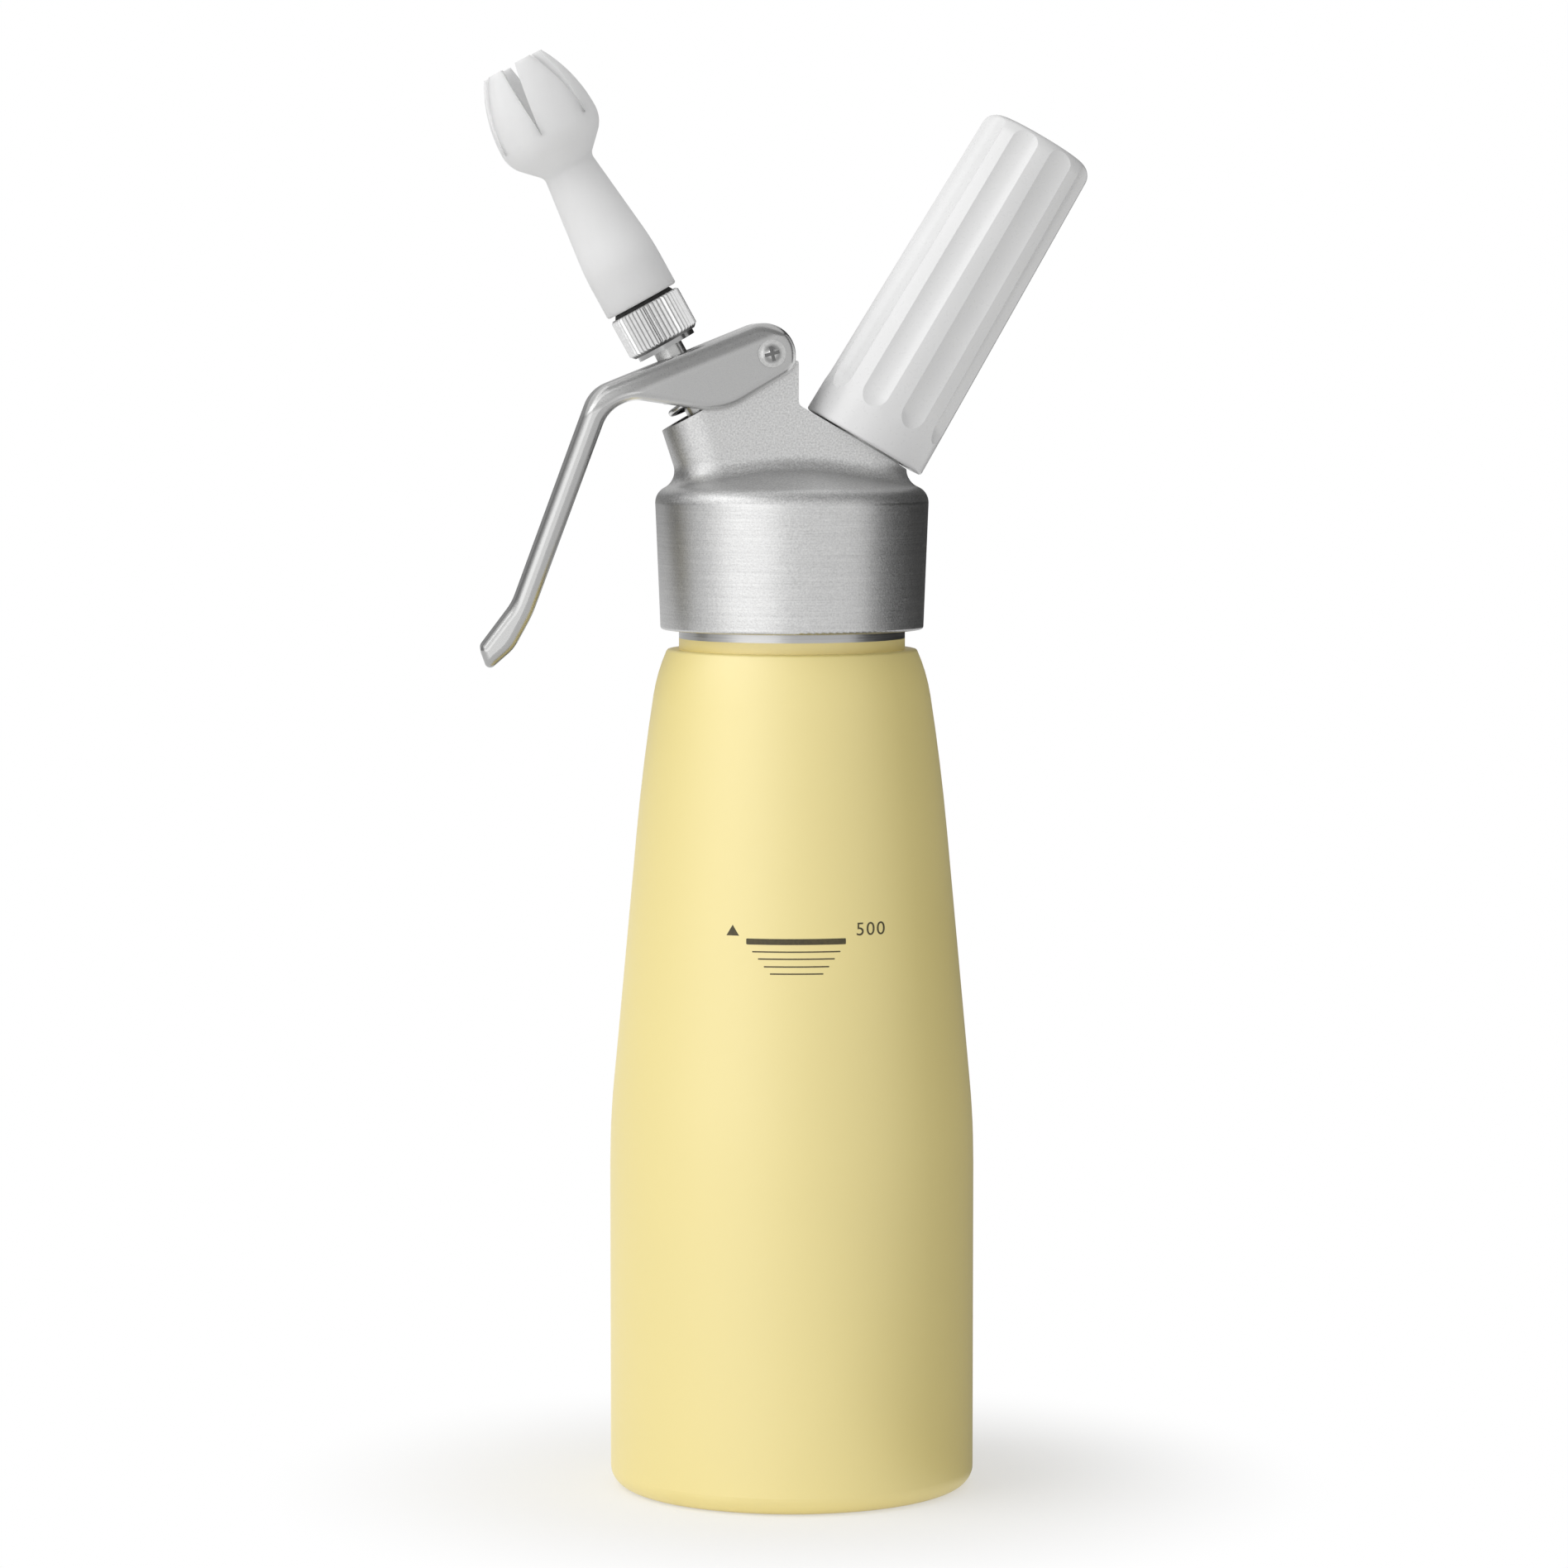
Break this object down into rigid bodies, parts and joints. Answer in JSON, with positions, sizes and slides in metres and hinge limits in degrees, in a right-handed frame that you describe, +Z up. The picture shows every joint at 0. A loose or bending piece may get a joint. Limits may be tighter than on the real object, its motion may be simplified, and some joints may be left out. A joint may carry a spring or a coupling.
{
  "type": "cream whipper",
  "caption": "Painted metal bottle with a screwed-on head, squeeze lever, slanted valve with a tulip nozzle and slanted charger holder, for whipping cream with gas.",
  "frame": {"origin": "centre of the base, on the surface that the bottle stands on", "axes": "+Z up along the bottle's axis, -Y to the front, nozzle on the -X side, charger holder on the +X side"},
  "size_m": [0.1303, 0.0786, 0.3089],
  "materials": {
    "paint": "matte pastel yellow",
    "cast_metal": "satin, bead-blasted",
    "bright_metal": "polished",
    "steel": "turned",
    "brass": "turned",
    "matte_white": "matte",
    "gloss_white": "soft gloss",
    "seal": "matte"
  },
  "bodies": {
    "bottle": {"bottle": "paint"},
    "gasket": {"head_gasket": "seal"},
    "head": {"head_body": "cast_metal", "stem_oring": "seal", "pivot_barrel": "steel", "pivot_screw": "steel", "return_spring": "steel", "check_valve": "seal", "pin_carrier": "brass", "piercing_pin": "steel", "charger_gasket": "seal"},
    "lever": {"lever": "cast_metal"},
    "valve": {"valve_stem": "steel", "seat_oring": "seal", "spring_collar": "steel", "collar_clip": "steel", "nozzle_adapter": "bright_metal"},
    "washer": {"nozzle_washer": "seal"},
    "nozzle": {"decorator_nozzle": "matte_white"},
    "charger": {"gas_charger": "steel"},
    "holder": {"charger_holder": "gloss_white"}
  },
  "joints": [
    {"name": "head_lift", "type": "slide", "parent": "bottle", "child": "gasket", "axis": [0, 0, 1], "range_m": [0, 0.01499]},
    {"name": "head_turn", "type": "hinge", "parent": "gasket", "child": "head", "pos_m": [0, 0, 0.2068], "axis": [0, 0, 1], "range_deg": [0, 1800]},
    {"name": "valve_press", "type": "slide", "parent": "head", "child": "valve", "axis": [0.4818, 0, -0.8763], "range_m": [0, 0.00329], "stiffness_N_per_m": 4800, "springref_m": -0.003, "deforming": ["return_spring"]},
    {"name": "lever_squeeze", "type": "hinge", "parent": "head", "child": "lever", "pos_m": [-0.00507, 0, 0.24447], "axis": [0, -1, 0], "range_deg": [0, 10]},
    {"name": "nozzle_lift", "type": "slide", "parent": "valve", "child": "washer", "axis": [-0.4818, 0, 0.8763], "range_m": [0, 0.00749]},
    {"name": "nozzle_turn", "type": "hinge", "parent": "washer", "child": "nozzle", "pos_m": [-0.0321, 0, 0.25563], "axis": [-0.4818, 0, 0.8763], "range_deg": [0, 1800]},
    {"name": "charger_lift", "type": "slide", "parent": "head", "child": "charger", "axis": [0.5075, 0, 0.8616], "range_m": [0, 0.01199]},
    {"name": "holder_turn", "type": "hinge", "parent": "charger", "child": "holder", "pos_m": [0.01544, 0, 0.22548], "axis": [0.5075, 0, 0.8616], "range_deg": [0, 2160]}
  ],
  "couplings": [
    {"joint": "head_turn", "follows": "head_lift", "rad_per_m": 2094.4},
    {"joint": "lever_squeeze", "follows": "valve_press", "rad_per_m": 53.107},
    {"joint": "nozzle_turn", "follows": "nozzle_lift", "rad_per_m": 4188.8},
    {"joint": "holder_turn", "follows": "charger_lift", "rad_per_m": 3141.6}
  ]
}
